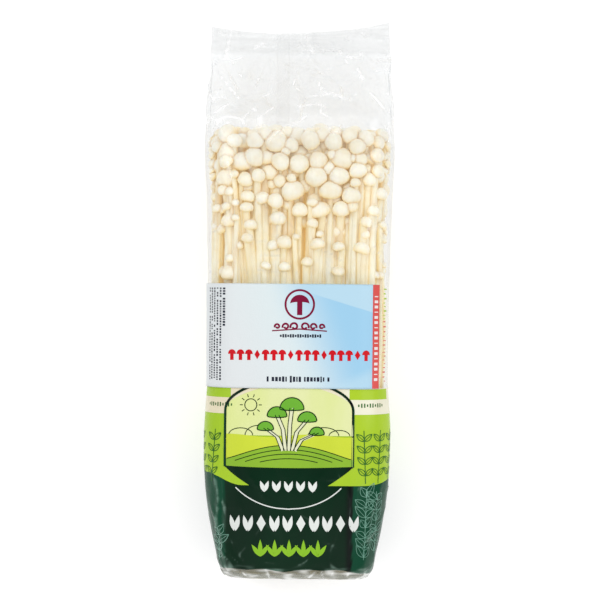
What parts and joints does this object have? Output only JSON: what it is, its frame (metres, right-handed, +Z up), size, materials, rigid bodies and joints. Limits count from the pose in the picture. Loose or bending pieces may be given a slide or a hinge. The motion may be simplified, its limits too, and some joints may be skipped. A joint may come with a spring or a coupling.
{
  "type": "packaged enoki mushroom bunch",
  "caption": "Bunch of long-stemmed enoki mushrooms on one foot, in a gusseted film bag that is clear above and printed green below, with a pale blue front label.",
  "frame": {"origin": "middle of the flat underside of the lying pack, halfway between its foot end and the tip of its top seal", "axes": "+Y from the mushrooms' foot to the bag's top seal, +Z up through the front label, +X to the right as the front is looked at"},
  "size_m": [0.0708, 0.2116, 0.0468],
  "materials": {
    "enoki": "moist satin mushroom flesh",
    "film": "glossy clear film, printed green on the lower half",
    "label": "satin adhesive paper"
  },
  "bodies": {
    "root": {"enoki_bunch": "enoki", "film_bag": "film", "front_label": "label"}
  },
  "joints": []
}
